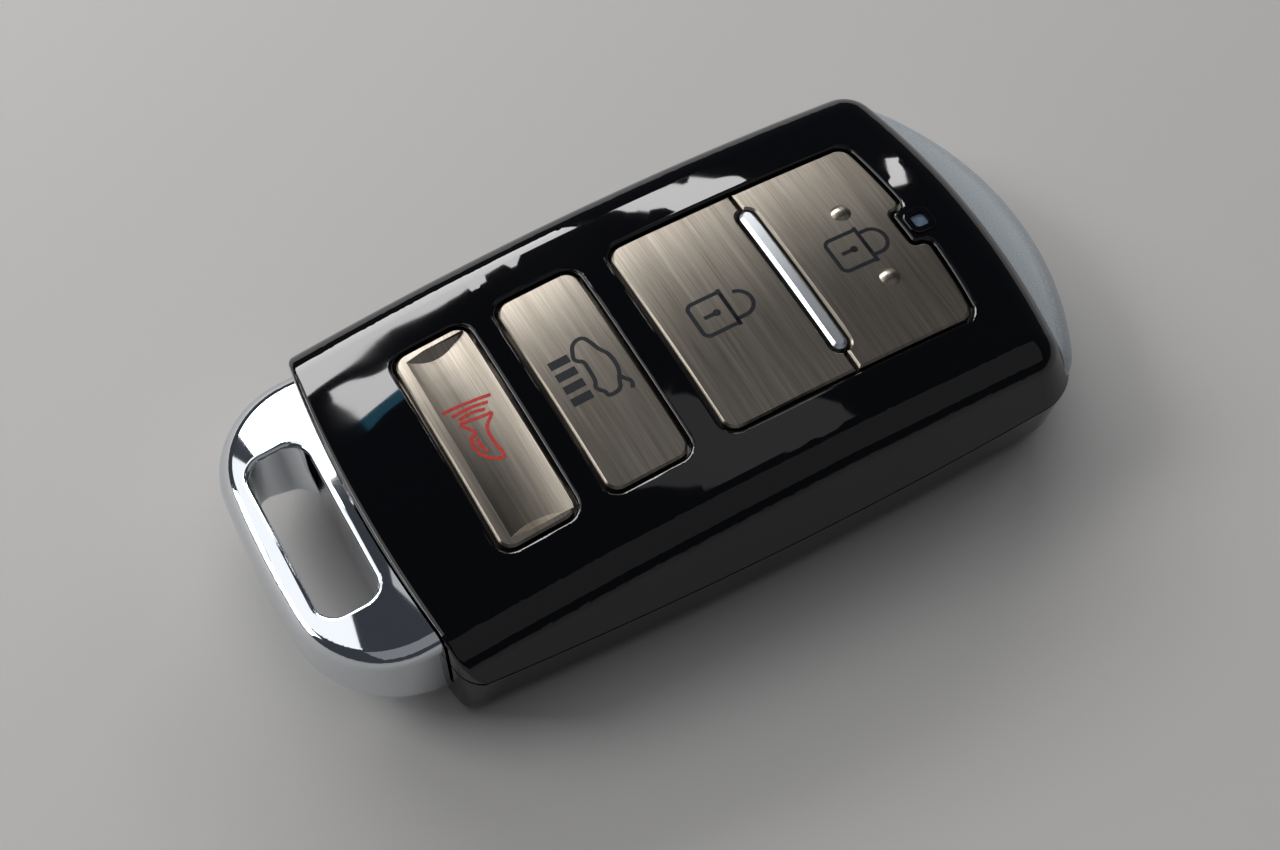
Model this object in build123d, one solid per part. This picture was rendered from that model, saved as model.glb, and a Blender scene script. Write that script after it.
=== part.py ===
"""Smart car key fob: gloss shells, brushed metal button caps, chrome emergency key.

Millimetres. +X runs from the chrome loop to the far end, +Z is the button side,
and the origin lies under the middle of the whole fob, on the surface that it rests on.
"""
import os
from math import atan2, degrees, radians, sqrt, tan

from build123d import *

os.makedirs("parts", exist_ok=True)

# Housing
HALF_WIDTH = 20.0
WIDEST_X = 8.9
SIDE_RADIUS = 450.0
FAR_X = 35.8
FAR_END_RADIUS = 75.0
FAR_CORNER_SHARE = 0.25
FAR_CORNER_RADIUS = HALF_WIDTH * FAR_CORNER_SHARE
NEAR_X = -29.4
NEAR_END_RADIUS = 126.0
NEAR_CORNER_RADIUS = 3.0
NEAR_CORNER_MARGIN = 0.5
NEAR_EDGE_RADIUS = 0.5
PEAK_Z = 15.0
SEAM_Z = 7.8
ARCH_RADIUS = 250.0
CROSS_RADIUS = 161.0
SHOULDER_SHARE = 0.2
SHOULDER_RADIUS = HALF_WIDTH * SHOULDER_SHARE
FRONT_DRAFT_DEG = 25.0
REAR_DRAFT_DEG = 8.0
REAR_EDGE_SHARE = 0.68
REAR_EDGE_RADIUS = FAR_CORNER_RADIUS * REAR_EDGE_SHARE
WALL = 1.3
ROOF = 1.5
FLOOR = 1.2
END_WALL = 1.6
SEAM_GROOVE_DEPTH = 0.3
SEAM_GROOVE_HEIGHT = 0.3
LIP_THICKNESS = 0.8
LIP_HEIGHT = 1.0
LIP_CLEARANCE = 0.12
OVERRUN = 2.0
LONG_REACH = 5.0
TOUCH = 0.05
RIM_TEST_SHARES = (0.0, 0.5, 1.0)
UPWARD = (0, 0, 1)
TOOL_REACH = 42.0

# Silver trim round the far end
TRIM_X = 39.1
TRIM_BOW_SHARE = 1.55
TRIM_RADIUS = HALF_WIDTH * TRIM_BOW_SHARE
TRIM_BOTTOM_Z = 3.4
TRIM_TOP_Z = 9.6
TRIM_REBATE = 0.7
TRIM_NEAR_X = 28.0
TRIM_MARGIN = 1.6
TRIM_CORNER_RADIUS = 5.0
TRIM_EDGE_RADIUS = 1.6

# Button caps and their windows
CAP_BORDER = 9.15
CAP_HALF_WIDTH = HALF_WIDTH - CAP_BORDER
CAP_CORNER_RADIUS = 1.3
CAP_GAP = 0.32
CAP_DROP = 0.1
CAP_EDGE = 0.2
CAP_TRAVEL = 0.35
CAP_PLATE = 1.6
CAP_DEPTH = 2.4
CAP_RIM = 1.2
FLANGE_REACH = 0.55
FLANGE_CLEARANCE = 0.1
PANIC_NEAR_X = -20.6
PANIC_FAR_X = -13.5
BOOT_NEAR_X = -10.4
BOOT_FAR_X = -2.5
UNLOCK_NEAR_X = 1.1
SPLIT_X = 14.1
SPLIT_GAP = 0.4
LOCK_FAR_X = 27.2
LOCK_FAR_RADIUS = 72.0
WINDOW_EDGE_RADIUS = 0.35
DISH_DEPTH = 0.8
DISH_RIM = 0.5
DISH_END_RUN = 1.2
DIMPLE_X = 21.8
DIMPLE_Y = 4.05
DIMPLE_DIAMETER = 1.9
DIMPLE_HEIGHT = 0.35

# Divider bar and the rib that carries it
BAR_WIDTH = 1.4
BAR_MARGIN = 2.35
BAR_HALF_LENGTH = CAP_HALF_WIDTH - BAR_MARGIN
BAR_PROUD = 0.15
BAR_GAP = 0.35
BAR_BEVEL = 0.3
RIB_WIDTH = 1.0
RIB_DEPTH = 1.1
RIB_CLEARANCE = 0.15

# Light pipe in the tab of the front shell
LENS_X = 27.75
LENS_WIDTH = 1.4
LENS_CORNER_RADIUS = 0.4
LENS_RING_WIDTH = 2.7
LENS_RING_CORNER_RADIUS = 0.9
LENS_RING_HEIGHT = 0.2
LENS_RING_EDGE = 0.12
LENS_RECESS = 0.05
LENS_GAP = 0.05
TAB_HALF_WIDTH = 2.2
TAB_NEAR_X = 25.6
TAB_CORNER_RADIUS = 0.72

# Circuit board and what stands on it
BOARD_NEAR_X = -20.2
BOARD_THICKNESS = 0.8
BOARD_INSET = 3.2
BOARD_CORNER_RADIUS = 1.5
SWITCH_WIDTH = 3.6
SWITCH_HEIGHT = 0.9
PLUNGER_DIAMETER = 1.7
PLUNGER_PROUD = 0.3
PLUNGER_GAP = 0.08
MEMBRANE_GAP = 0.1
MEMBRANE_THICKNESS = 0.4
MEMBRANE_MARGIN = 1.55
MEMBRANE_HALF_WIDTH = CAP_HALF_WIDTH + MEMBRANE_MARGIN
MEMBRANE_NEAR_X = -23.0
MEMBRANE_FAR_X = 25.6
MEMBRANE_CORNER_RADIUS = 2.0
DOME_HEIGHT = 0.35
DOME_DIAMETER = 4.2
STEM_DIAMETER = 3.2
STEM_GAP = 0.06
POST_DIAMETER = 2.4
POST_INSET = 4.6
POST_PLACES_X = (-18.6, 5.0, 28.4)
COIL_X = -8.0
COIL_LENGTH = 11.0
COIL_WIDTH = 2.6
COIL_HEIGHT = 2.4
COIL_CHEEK = 1.0
COIL_CORE_INSET = 0.3
COIL_INSET = 6.1
COIL_Y = COIL_INSET - HALF_WIDTH
CHIP_HEIGHT = 0.9
CONTROLLER_WIDTH = 5.0
CONTROLLER_X = 0.2
CONTROLLER_Y = -6.0
RADIO_WIDTH = 4.0
RADIO_X = 0.2
RADIO_Y = 6.0
CRYSTAL_LENGTH = 3.2
CRYSTAL_WIDTH = 2.5
CRYSTAL_X = 13.8
CRYSTAL_Y = 6.5
LED_LENGTH = 1.6
LED_WIDTH = 0.8
LED_HEIGHT = 0.6
LENS_STANDOFF = 0.3

# Battery
CELL_DIAMETER = 20.0
CELL_HEIGHT = 3.2
CELL_X = 22.4
CELL_EDGE = 0.3
CELL_CLEARANCE = 0.2
CONTACT_THICKNESS = 0.25
CONTACT_WIDTH = 3.0
CONTACT_LENGTH = 9.0
CONTACT_CLEARANCE = 0.08

# Carrier between the shells
CARRIER_INSET = 3.6
CARRIER_CLEARANCE = 0.2
CARRIER_NEAR_X = -27.4
BAY_FAR_X = -19.4
BAY_HALF_WIDTH = 8.6
POCKET_WALL = 1.2
POCKET_X0 = -17.6
POCKET_X1 = 10.2
POCKET_Y0 = 6.2
POCKET_INSET = 5.4
POCKET_Y1 = HALF_WIDTH - POCKET_INSET

# Emergency key
HEAD_LENGTH = 9.7
HEAD_TIP_X = NEAR_X - HEAD_LENGTH
HEAD_MARGIN = 4.8
HEAD_HALF_WIDTH = HALF_WIDTH - HEAD_MARGIN
HEAD_CORNER_RADIUS = 9.0
HEAD_TIP_RADIUS = 90.0
HEAD_GAP = 0.15
HEAD_TOP_NEAR_Z = 11.5
HEAD_TOP_TIP_Z = 10.8
HEAD_BOTTOM_NEAR_Z = 2.5
HEAD_BOTTOM_TIP_Z = 5.2
HEAD_TOP_EDGE = 1.5
HEAD_BOTTOM_EDGE = 1.2
LOOP_TIP_WALL = 2.8
LOOP_TIP_X = HEAD_TIP_X + LOOP_TIP_WALL
LOOP_NEAR_WALL = 1.3
LOOP_NEAR_X = NEAR_X - LOOP_NEAR_WALL
LOOP_BORDER = 6.7
LOOP_HALF_WIDTH = HEAD_HALF_WIDTH - LOOP_BORDER
LOOP_CORNER_RADIUS = 1.9
LOOP_EDGE = 0.5
TANG_HALF_WIDTH = 5.0
TANG_BOTTOM_Z = 4.1
TANG_HEIGHT = 3.0
TANG_END_X = -20.6
TANG_CLEARANCE = 0.15
BLADE_THICKNESS = 2.0
BLADE_HALF_WIDTH = 3.7
BLADE_ROOT_X = -26.6
BLADE_TIP_X = 11.0
BLADE_TIP_BEVEL = 1.6
BLADE_FIT = 0.02
BLADE_CLEARANCE = 0.12
CUT_DEPTHS_SHARES = (0.5, 0.9, 0.35, 0.7, 1.0, 0.45, 0.8, 0.3)
CUT_FULL_DEPTH = 1.5
CUT_FIRST_X = -13.0
CUT_SPACING = 2.7
CUT_FLAT = 0.5
CUT_FLANK_DEG = 45.0
PIN_DIAMETER = 1.6
PIN_X = -22.9

# Release button and latch spring
RELEASE_X = -24.2
RELEASE_LENGTH = 4.4
RELEASE_HALF_WIDTH = 5.0
RELEASE_RECESS = 0.25
RELEASE_GAP = 0.15
RELEASE_CORNER_RADIUS = 1.2
RELEASE_FLANGE = 0.7
RELEASE_FLANGE_HALF_WIDTH = 7.4
RELEASE_FLANGE_MARGIN = 0.5
RELEASE_RIDGES = 3
RELEASE_RIDGE_WIDTH = 0.5
RELEASE_RIDGE_DEPTH = 0.2
RELEASE_RIDGE_SPACING = 1.1
ARM_INNER_Y = 6.0
ARM_LENGTH = 1.8
LEAF_THICKNESS = 0.25
LEAF_LIFT = 0.1
LEAF_HALF_WIDTH = 2.6
LEAF_NEAR_X = -26.5
LEAF_FAR_X = -12.0
NOTCH_NEAR_X = -26.2
NOTCH_LENGTH = 1.5
NOTCH_DEPTH = 0.5
TOOTH_INSET = 0.12

# Levels that follow from the sizes above
CELL_BOTTOM_Z = FLOOR + CELL_CLEARANCE
CELL_TOP_Z = CELL_BOTTOM_Z + CELL_HEIGHT
BOARD_TOP_Z = SEAM_Z + BOARD_THICKNESS
SWITCH_TOP_Z = BOARD_TOP_Z + SWITCH_HEIGHT
PLUNGER_TOP_Z = SWITCH_TOP_Z + PLUNGER_PROUD
MEMBRANE_Z = PLUNGER_TOP_Z + MEMBRANE_GAP
DOME_TOP_Z = MEMBRANE_Z + MEMBRANE_THICKNESS + DOME_HEIGHT
TANG_TOP_Z = TANG_BOTTOM_Z + TANG_HEIGHT
BLADE_Z = TANG_BOTTOM_Z + (TANG_HEIGHT - BLADE_THICKNESS) / 2
LEAF_Z = TANG_TOP_Z + LEAF_LIFT
RIB_DROP = CAP_DEPTH + CAP_TRAVEL + RIB_CLEARANCE
FLANGE_DROP = ROOF + FLANGE_CLEARANCE
PANIC_X = (PANIC_NEAR_X + PANIC_FAR_X) / 2
BOOT_X = (BOOT_NEAR_X + BOOT_FAR_X) / 2
UNLOCK_X = (UNLOCK_NEAR_X + SPLIT_X) / 2
LOCK_X = (SPLIT_X + TAB_NEAR_X) / 2
BUTTONS_X = {"lock": LOCK_X, "unlock": UNLOCK_X, "boot": BOOT_X, "panic": PANIC_X}


def block(x0, x1, y0, y1, z0, z1):
    """Box between two corners."""
    solid = Box(x1 - x0, y1 - y0, z1 - z0, align=(Align.MIN, Align.MIN, Align.MIN))
    return Pos(x0, y0, z0) * solid


def pad(x0, x1, half_y, z0, z1, radius=0):
    """Plate centred on Y, with rounded upright corners."""
    shape = Rectangle(x1 - x0, half_y + half_y)
    if radius:
        shape = fillet(shape.vertices(), radius)
    return Pos((x0 + x1) / 2, 0, z0) * extrude(shape, z1 - z0)


def centred(x, y, z, length, width, height):
    """Small box standing on height z."""
    return Pos(x, y, z) * Box(length, width, height, align=(Align.CENTER, Align.CENTER, Align.MIN))


def drum(x, y, z0, z1, diameter):
    """Upright cylinder."""
    return Pos(x, y, z0) * Cylinder(diameter / 2, z1 - z0, align=(Align.CENTER, Align.CENTER, Align.MIN))


def crown(drop):
    """Everything under the crowned button side, lowered by drop."""
    cross = CROSS_RADIUS - drop
    top = PEAK_Z - drop
    edge = top - cross + sqrt(cross ** 2 - TOOL_REACH ** 2)
    low = -OVERRUN
    lines = Polyline((-TOOL_REACH, edge), (-TOOL_REACH, low), (TOOL_REACH, low), (TOOL_REACH, edge))
    lines += ThreePointArc((-TOOL_REACH, edge), (0, top), (TOOL_REACH, edge))
    profile = Pos(WIDEST_X, 0, 0) * (Plane.YZ * make_face(lines))
    axis = Axis((WIDEST_X, 0, PEAK_Z - ARCH_RADIUS), (0, 1, 0))
    sweep_deg = degrees(TOOL_REACH / ARCH_RADIUS)
    return revolve(profile, axis=axis, revolution_arc=sweep_deg + sweep_deg).rotate(axis, -sweep_deg)


def slab(top_drop, bottom_drop):
    """Layer between two depths under the crown."""
    return crown(top_drop) - crown(bottom_drop)


def crown_z(x, y, drop=0):
    """Height of the crowned surface over one place."""
    hub = PEAK_Z - ARCH_RADIUS
    reach = ARCH_RADIUS - drop - CROSS_RADIUS + sqrt(CROSS_RADIUS ** 2 - y ** 2)
    return hub + sqrt(reach ** 2 - (x - WIDEST_X) ** 2)


def near_end(inset):
    """Sketch of all that lies on the far side of the bowed loop end, with soft corners."""
    end = Pos(NEAR_X + NEAR_END_RADIUS, 0) * Circle(NEAR_END_RADIUS - inset)
    half = side_y(NEAR_X) + NEAR_CORNER_MARGIN
    keep = Pos(NEAR_X + TOOL_REACH, 0) * Rectangle(TOOL_REACH + TOOL_REACH + OVERRUN, half + half)
    near_part = end & keep
    near_part = fillet(near_part.vertices().sort_by(Axis.X)[:2], NEAR_CORNER_RADIUS)
    clear_x = NEAR_X + NEAR_CORNER_RADIUS + OVERRUN
    rest = Pos(clear_x + TOOL_REACH, 0) * Rectangle(TOOL_REACH + TOOL_REACH, TOOL_REACH + TOOL_REACH)
    return near_part + rest


def soften_end(form):
    """Small rounding all along the edge of the loop end."""
    limit = NEAR_X + NEAR_CORNER_RADIUS
    ends = [e for e in form.edges() if e.bounding_box().max.X < limit and not on_seam(e)
            and e.geom_type != GeomType.LINE]
    return fillet(ends, NEAR_EDGE_RADIUS)


def on_seam(edge):
    """True for an edge in the plane where the shells meet."""
    box = edge.bounding_box()
    return max(abs(box.min.Z - SEAM_Z), abs(box.max.Z - SEAM_Z)) < TOUCH


def side_y(x, inset=0):
    """Half width of the housing's plan at one place along its length."""
    radius = SIDE_RADIUS - inset
    return HALF_WIDTH - SIDE_RADIUS + sqrt(radius ** 2 - (x - WIDEST_X) ** 2)


def outline(inset=0, long=False):
    """Plan of the housing at the seam; the long one runs past the loop end."""
    x0 = NEAR_X - LONG_REACH
    x1 = FAR_X + OVERRUN
    y0, peak, y1 = side_y(x0, inset), side_y(WIDEST_X, inset), side_y(x1, inset)
    lines = ThreePointArc((x0, -y0), (WIDEST_X, -peak), (x1, -y1)) + Line((x1, -y1), (x1, y1))
    lines += ThreePointArc((x1, y1), (WIDEST_X, peak), (x0, y0))
    shape = make_face(lines + Line((x0, y0), (x0, -y0)))
    shape = shape & (Pos(FAR_X - FAR_END_RADIUS, 0) * Circle(FAR_END_RADIUS - inset))
    corners = shape.vertices().sort_by(Axis.X)[-2:]
    shape = fillet(corners, FAR_CORNER_RADIUS - min(inset, FAR_CORNER_RADIUS / 2))
    return shape if long else shape & near_end(inset)


def front_form(inset=0, drop=0, end_inset=0):
    """Upper half of the housing from the seam to the crown."""
    height = PEAK_Z - SEAM_Z + OVERRUN
    plan = outline(inset, long=True)
    form = Pos(0, 0, SEAM_Z) * extrude(plan, height, taper=FRONT_DRAFT_DEG)
    form = form & crown(drop)
    rims = [e for e in form.edges() if e.bounding_box().min.Z > SEAM_Z + TOUCH and e.center().X > NEAR_X]
    form = fillet(rims, SHOULDER_RADIUS - inset)
    return form & (Pos(0, 0, SEAM_Z) * extrude(near_end(end_inset), height))


def rear_form(inset=0, lift=0, end_inset=0):
    """Lower half of the housing from the seam down to the flat back."""
    depth = SEAM_Z - lift
    plan = outline(inset, long=True)
    form = Pos(0, 0, SEAM_Z) * extrude(plan, -depth, taper=REAR_DRAFT_DEG)
    rims = [e for e in form.edges() if e.bounding_box().max.Z < SEAM_Z / 2 and e.center().X > NEAR_X]
    form = fillet(rims, REAR_EDGE_RADIUS - inset)
    return form & extrude(near_end(end_inset), SEAM_Z)


def cap_outline(near_x, far_x, grow=0):
    """Plain cap with rounded corners."""
    shape = Rectangle(far_x - near_x, CAP_HALF_WIDTH + CAP_HALF_WIDTH)
    shape = Pos((near_x + far_x) / 2, 0) * fillet(shape.vertices(), CAP_CORNER_RADIUS)
    return offset(shape, grow) if grow else shape


def pair_outline(grow=0):
    """Unlock and lock caps together, with the bowed end and the notch for the tab."""
    shape = Rectangle(LOCK_FAR_X - UNLOCK_NEAR_X, CAP_HALF_WIDTH + CAP_HALF_WIDTH)
    shape = Pos((LOCK_FAR_X + UNLOCK_NEAR_X) / 2, 0) * shape
    shape = shape & (Pos(LOCK_FAR_X - LOCK_FAR_RADIUS, 0) * Circle(LOCK_FAR_RADIUS))
    shape = fillet(shape.vertices(), CAP_CORNER_RADIUS)
    notch = Rectangle(TOOL_REACH, TAB_HALF_WIDTH + TAB_HALF_WIDTH)
    notch = Pos(TAB_NEAR_X + TOOL_REACH / 2, 0) * notch
    shape = shape - notch
    inner = [v for v in shape.vertices() if abs(v.Y) < TAB_HALF_WIDTH + CAP_GAP]
    shape = fillet(inner, TAB_CORNER_RADIUS)
    return offset(shape, grow) if grow else shape


def bar_outline(grow=0):
    """Slot shape of the divider bar."""
    length = BAR_HALF_LENGTH + BAR_HALF_LENGTH
    shape = Pos(SPLIT_X, 0) * (Rot(0, 0, 90) * SlotOverall(length, BAR_WIDTH))
    return offset(shape, grow) if grow else shape


def unlock_outline(grow=0):
    """Half of the pair on the near side of the split."""
    split = SPLIT_X - SPLIT_GAP / 2
    side = Pos(split - TOOL_REACH / 2, 0) * Rectangle(TOOL_REACH, TOOL_REACH)
    return (pair_outline(grow) & side) - bar_outline(BAR_GAP)


def lock_outline(grow=0):
    """Half of the pair on the far side of the split."""
    split = SPLIT_X + SPLIT_GAP / 2
    side = Pos(split + TOOL_REACH / 2, 0) * Rectangle(TOOL_REACH, TOOL_REACH)
    return (pair_outline(grow) & side) - bar_outline(BAR_GAP)


def prism(shape, z0=0, z1=PEAK_Z + OVERRUN):
    """Sketch pulled up through the fob."""
    return Pos(0, 0, z0) * extrude(shape, z1 - z0, dir=UPWARD)


def cap(shape, flange_shape, stem_x):
    """Cap with bevelled top edge, retaining flange, hollow underside and stem."""
    plate = prism(shape) & slab(CAP_DROP, CAP_DEPTH)
    top = plate.faces().sort_by(Axis.Z)[-1]
    plate = chamfer(top.edges(), CAP_EDGE)
    flange = prism(flange_shape) & slab(FLANGE_DROP, CAP_DEPTH)
    body = plate + flange
    hollow = prism(offset(shape, -CAP_RIM)) & slab(CAP_PLATE, CAP_DEPTH + OVERRUN)
    body = body - hollow
    stem = drum(stem_x, 0, DOME_TOP_Z + STEM_GAP, PEAK_Z - CAP_PLATE, STEM_DIAMETER)
    return body + (stem & crown((CAP_PLATE + CAP_DROP) / 2))


def panic_dish():
    """Scooped trough that follows the crown, with sloping ends, in the panic cap."""
    half = (PANIC_FAR_X - PANIC_NEAR_X) / 2 - DISH_RIM
    radius = (half ** 2 + DISH_DEPTH ** 2) / (DISH_DEPTH + DISH_DEPTH)
    rim_z = crown_z(PANIC_X, 0, CAP_DROP)
    reach = CAP_HALF_WIDTH - DISH_RIM
    hub = Axis((0, 0, PEAK_Z - CROSS_RADIUS), (1, 0, 0))
    sweep_deg = degrees(atan2(reach, CROSS_RADIUS - CAP_DROP))
    circle = Plane.XZ * (Pos(PANIC_X, rim_z - DISH_DEPTH + radius) * Circle(radius))
    scoop = revolve(circle, axis=hub, revolution_arc=sweep_deg + sweep_deg).rotate(hub, -sweep_deg)
    bottom = crown_z(PANIC_X, reach, CAP_DROP) - DISH_DEPTH
    top = rim_z + radius
    run = DISH_END_RUN * (top - bottom) / DISH_DEPTH
    foot = reach - DISH_END_RUN
    low = bottom - DISH_DEPTH
    under = foot - DISH_END_RUN
    wedge = Polyline((-under, low), (under, low), (foot + run, top), (-foot - run, top), close=True)
    ends = Pos(PANIC_X, 0, 0) * (Plane.YZ * make_face(wedge))
    return scoop & extrude(ends, radius, both=True)


def post_places():
    """Places of the posts that clamp the board."""
    for x in POST_PLACES_X:
        edge = side_y(x) - POST_INSET
        for y in (-edge, edge):
            yield x, y


def make_front_shell():
    shell = soften_end(front_form()) - front_form(WALL, ROOF, END_WALL)
    for shape in (cap_outline(PANIC_NEAR_X, PANIC_FAR_X, CAP_GAP),
                  cap_outline(BOOT_NEAR_X, BOOT_FAR_X, CAP_GAP), pair_outline(CAP_GAP)):
        shell = shell - prism(shape, SEAM_Z)
    rim = [e for e in shell.edges() if on_crown(e) and abs(e.center().Y) < CAP_HALF_WIDTH + OVERRUN]
    shell = fillet(rim, WINDOW_EDGE_RADIUS)
    rib = pad(SPLIT_X - RIB_WIDTH / 2, SPLIT_X + RIB_WIDTH / 2, CAP_HALF_WIDTH + OVERRUN, SEAM_Z, PEAK_Z)
    shell = shell + (rib & slab(RIB_DROP, RIB_DROP + RIB_DEPTH))
    reach = CAP_HALF_WIDTH + CAP_GAP
    for side in (-1, 1):
        leg = centred(SPLIT_X, side * (reach + OVERRUN / 2), SEAM_Z, RIB_WIDTH, OVERRUN, PEAK_Z)
        shell = shell + (leg & slab(ROOF, RIB_DROP + RIB_DEPTH))
    for x, y in post_places():
        post = drum(x, y, BOARD_TOP_Z, PEAK_Z, POST_DIAMETER)
        shell = shell + (post & crown(ROOF / 2))
    shell = shell + make_lens_ring()
    bore = lens_square(LENS_WIDTH + LENS_GAP + LENS_GAP, LENS_CORNER_RADIUS)
    shell = shell - prism(bore, BOARD_TOP_Z)
    return shell - make_end_trim()


def lens_square(width, corner_radius):
    """Rounded square round the light pipe's place."""
    shape = Rectangle(width, width)
    return Pos(LENS_X, 0) * fillet(shape.vertices(), corner_radius)


def make_lens_ring():
    """Low raised frame round the light pipe."""
    ring = prism(lens_square(LENS_RING_WIDTH, LENS_RING_CORNER_RADIUS)) & slab(-LENS_RING_HEIGHT, ROOF / 2)
    return fillet(ring.faces().sort_by(Axis.Z)[-1].edges(), LENS_RING_EDGE)


def on_crown(edge):
    """True for an edge that lies on the outer crowned surface inside the shoulder."""
    for share in RIM_TEST_SHARES:
        point = edge @ share
        if abs(point.Z - crown_z(point.X, point.Y)) > TOUCH:
            return False
    middle = edge.center()
    return NEAR_X + END_WALL < middle.X < LOCK_FAR_X + CAP_GAP + OVERRUN / 2


def make_end_trim():
    """Rounded crescent let into the far ends of both shells."""
    half = HALF_WIDTH - TRIM_MARGIN
    crescent = Pos(TRIM_X - TRIM_RADIUS, 0) * Circle(TRIM_RADIUS)
    length = TRIM_X - TRIM_NEAR_X
    crescent = crescent & (Pos(TRIM_X, 0) * Rectangle(length + length, half + half))
    crescent = fillet(crescent.vertices().sort_by(Axis.X)[-2:], TRIM_CORNER_RADIUS)
    solid = prism(crescent, TRIM_BOTTOM_Z, TRIM_TOP_Z)
    rims = [e for e in solid.edges().filter_by(Plane.XY) if e.center().X > TRIM_NEAR_X + TOUCH]
    solid = fillet(rims, TRIM_EDGE_RADIUS)
    trim = solid - front_form(TRIM_REBATE) - rear_form(TRIM_REBATE)
    return trim.solids().sort_by(SortBy.VOLUME)[-1]


def make_rear_shell():
    groove_z = SEAM_Z - SEAM_GROOVE_HEIGHT
    form = soften_end(rear_form())
    outer = form & block(NEAR_X - OVERRUN, FAR_X + OVERRUN, -TOOL_REACH, TOOL_REACH, 0, groove_z)
    land = outline(SEAM_GROOVE_DEPTH)
    outer = outer + (prism(land, groove_z - OVERRUN / 2, SEAM_Z) & form)
    shell = outer - rear_form(WALL, FLOOR, END_WALL)
    lip = front_form(WALL + LIP_CLEARANCE, ROOF, END_WALL + LIP_CLEARANCE)
    inner = front_form(WALL + LIP_CLEARANCE + LIP_THICKNESS, ROOF, END_WALL + LIP_CLEARANCE + LIP_THICKNESS)
    band = block(NEAR_X, FAR_X, -TOOL_REACH, TOOL_REACH, SEAM_Z, SEAM_Z + LIP_HEIGHT)
    shell = shell + ((lip - inner) & band) + lip_root()
    tang = TANG_HALF_WIDTH + TANG_CLEARANCE
    near = NEAR_X - OVERRUN
    gate = NEAR_X + END_WALL + OVERRUN
    shell = shell - pad(near, gate, tang, TANG_BOTTOM_Z - TANG_CLEARANCE, TANG_TOP_Z + TANG_CLEARANCE)
    shell = shell - release_window(RELEASE_GAP)
    return shell - make_end_trim()


def lip_root():
    """Step inside the wall that the seam lip grows from."""
    outer = outline(WALL / 2) & near_end(END_WALL / 2)
    inner_inset = WALL + LIP_CLEARANCE + LIP_THICKNESS
    inner = outline(inner_inset) & near_end(END_WALL + LIP_CLEARANCE + LIP_THICKNESS)
    return prism(outer - inner, SEAM_Z - LIP_HEIGHT / 2, SEAM_Z)


def release_window(grow):
    """Rounded window of the release button in the back."""
    shape = Rectangle(RELEASE_LENGTH, RELEASE_HALF_WIDTH + RELEASE_HALF_WIDTH)
    shape = offset(fillet(shape.vertices(), RELEASE_CORNER_RADIUS), grow) if grow else fillet(
        shape.vertices(), RELEASE_CORNER_RADIUS)
    return prism(Pos(RELEASE_X, 0) * shape, -OVERRUN, FLOOR + OVERRUN)


def make_lock_button():
    flange = lock_outline(CAP_GAP + FLANGE_REACH) - near_split()
    body = cap(lock_outline(), flange, LOCK_X)
    for side in (-1, 1):
        body = body + dimple(DIMPLE_X, side * DIMPLE_Y)
    return body


def make_unlock_button():
    flange = unlock_outline(CAP_GAP + FLANGE_REACH) - near_split()
    return cap(unlock_outline(), flange, UNLOCK_X)


def near_split():
    """Strip beside the split that the flanges leave free."""
    return Pos(SPLIT_X, 0) * Rectangle(RIB_WIDTH + RIB_WIDTH, TOOL_REACH)


def dimple(x, y):
    """Raised dot that a thumb can feel."""
    radius = (DIMPLE_DIAMETER ** 2 / 4 + DIMPLE_HEIGHT ** 2) / (DIMPLE_HEIGHT + DIMPLE_HEIGHT)
    top = crown_z(x, y, CAP_DROP)
    ball = Pos(x, y, top + DIMPLE_HEIGHT - radius) * Sphere(radius)
    return ball & drum(x, y, top - CAP_DROP, PEAK_Z + OVERRUN, DIMPLE_DIAMETER)


def make_boot_button():
    grow = CAP_GAP + FLANGE_REACH
    return cap(cap_outline(BOOT_NEAR_X, BOOT_FAR_X), cap_outline(BOOT_NEAR_X, BOOT_FAR_X, grow), BOOT_X)


def make_panic_button():
    grow = CAP_GAP + FLANGE_REACH
    flange = cap_outline(PANIC_NEAR_X, PANIC_FAR_X, grow)
    body = cap(cap_outline(PANIC_NEAR_X, PANIC_FAR_X), flange, PANIC_X)
    return body - panic_dish()


def make_divider_bar():
    bar = prism(bar_outline()) & slab(-BAR_PROUD, RIB_DROP)
    top = bar.faces().sort_by(Axis.Z)[-1]
    return chamfer(top.edges(), BAR_BEVEL)


def make_led_lens():
    foot = BOARD_TOP_Z + LED_HEIGHT + LENS_STANDOFF
    return prism(lens_square(LENS_WIDTH, LENS_CORNER_RADIUS), foot, PEAK_Z) & crown(LENS_RECESS)


def make_keypad_membrane():
    sheet = pad(MEMBRANE_NEAR_X, MEMBRANE_FAR_X, MEMBRANE_HALF_WIDTH, MEMBRANE_Z,
                MEMBRANE_Z + MEMBRANE_THICKNESS, MEMBRANE_CORNER_RADIUS)
    for x in BUTTONS_X.values():
        foot = Plane.XY.offset(MEMBRANE_Z + MEMBRANE_THICKNESS - DOME_HEIGHT / 2)
        top = Plane.XY.offset(DOME_TOP_Z)
        rings = [foot * Pos(x, 0) * Circle(DOME_DIAMETER / 2), top * Pos(x, 0) * Circle(STEM_DIAMETER / 2)]
        sheet = sheet + loft(Sketch() + rings)
    return sheet


def cut_outline(inset, near_x):
    """Plan of an inner plate that ends squarely at near_x."""
    shape = outline(inset) & (Pos(near_x + TOOL_REACH, 0) * Rectangle(TOOL_REACH + TOOL_REACH, TOOL_REACH))
    return fillet(shape.vertices().sort_by(Axis.X)[:2], BOARD_CORNER_RADIUS)


def make_circuit_board():
    return prism(cut_outline(BOARD_INSET, BOARD_NEAR_X), SEAM_Z, BOARD_TOP_Z)


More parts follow.
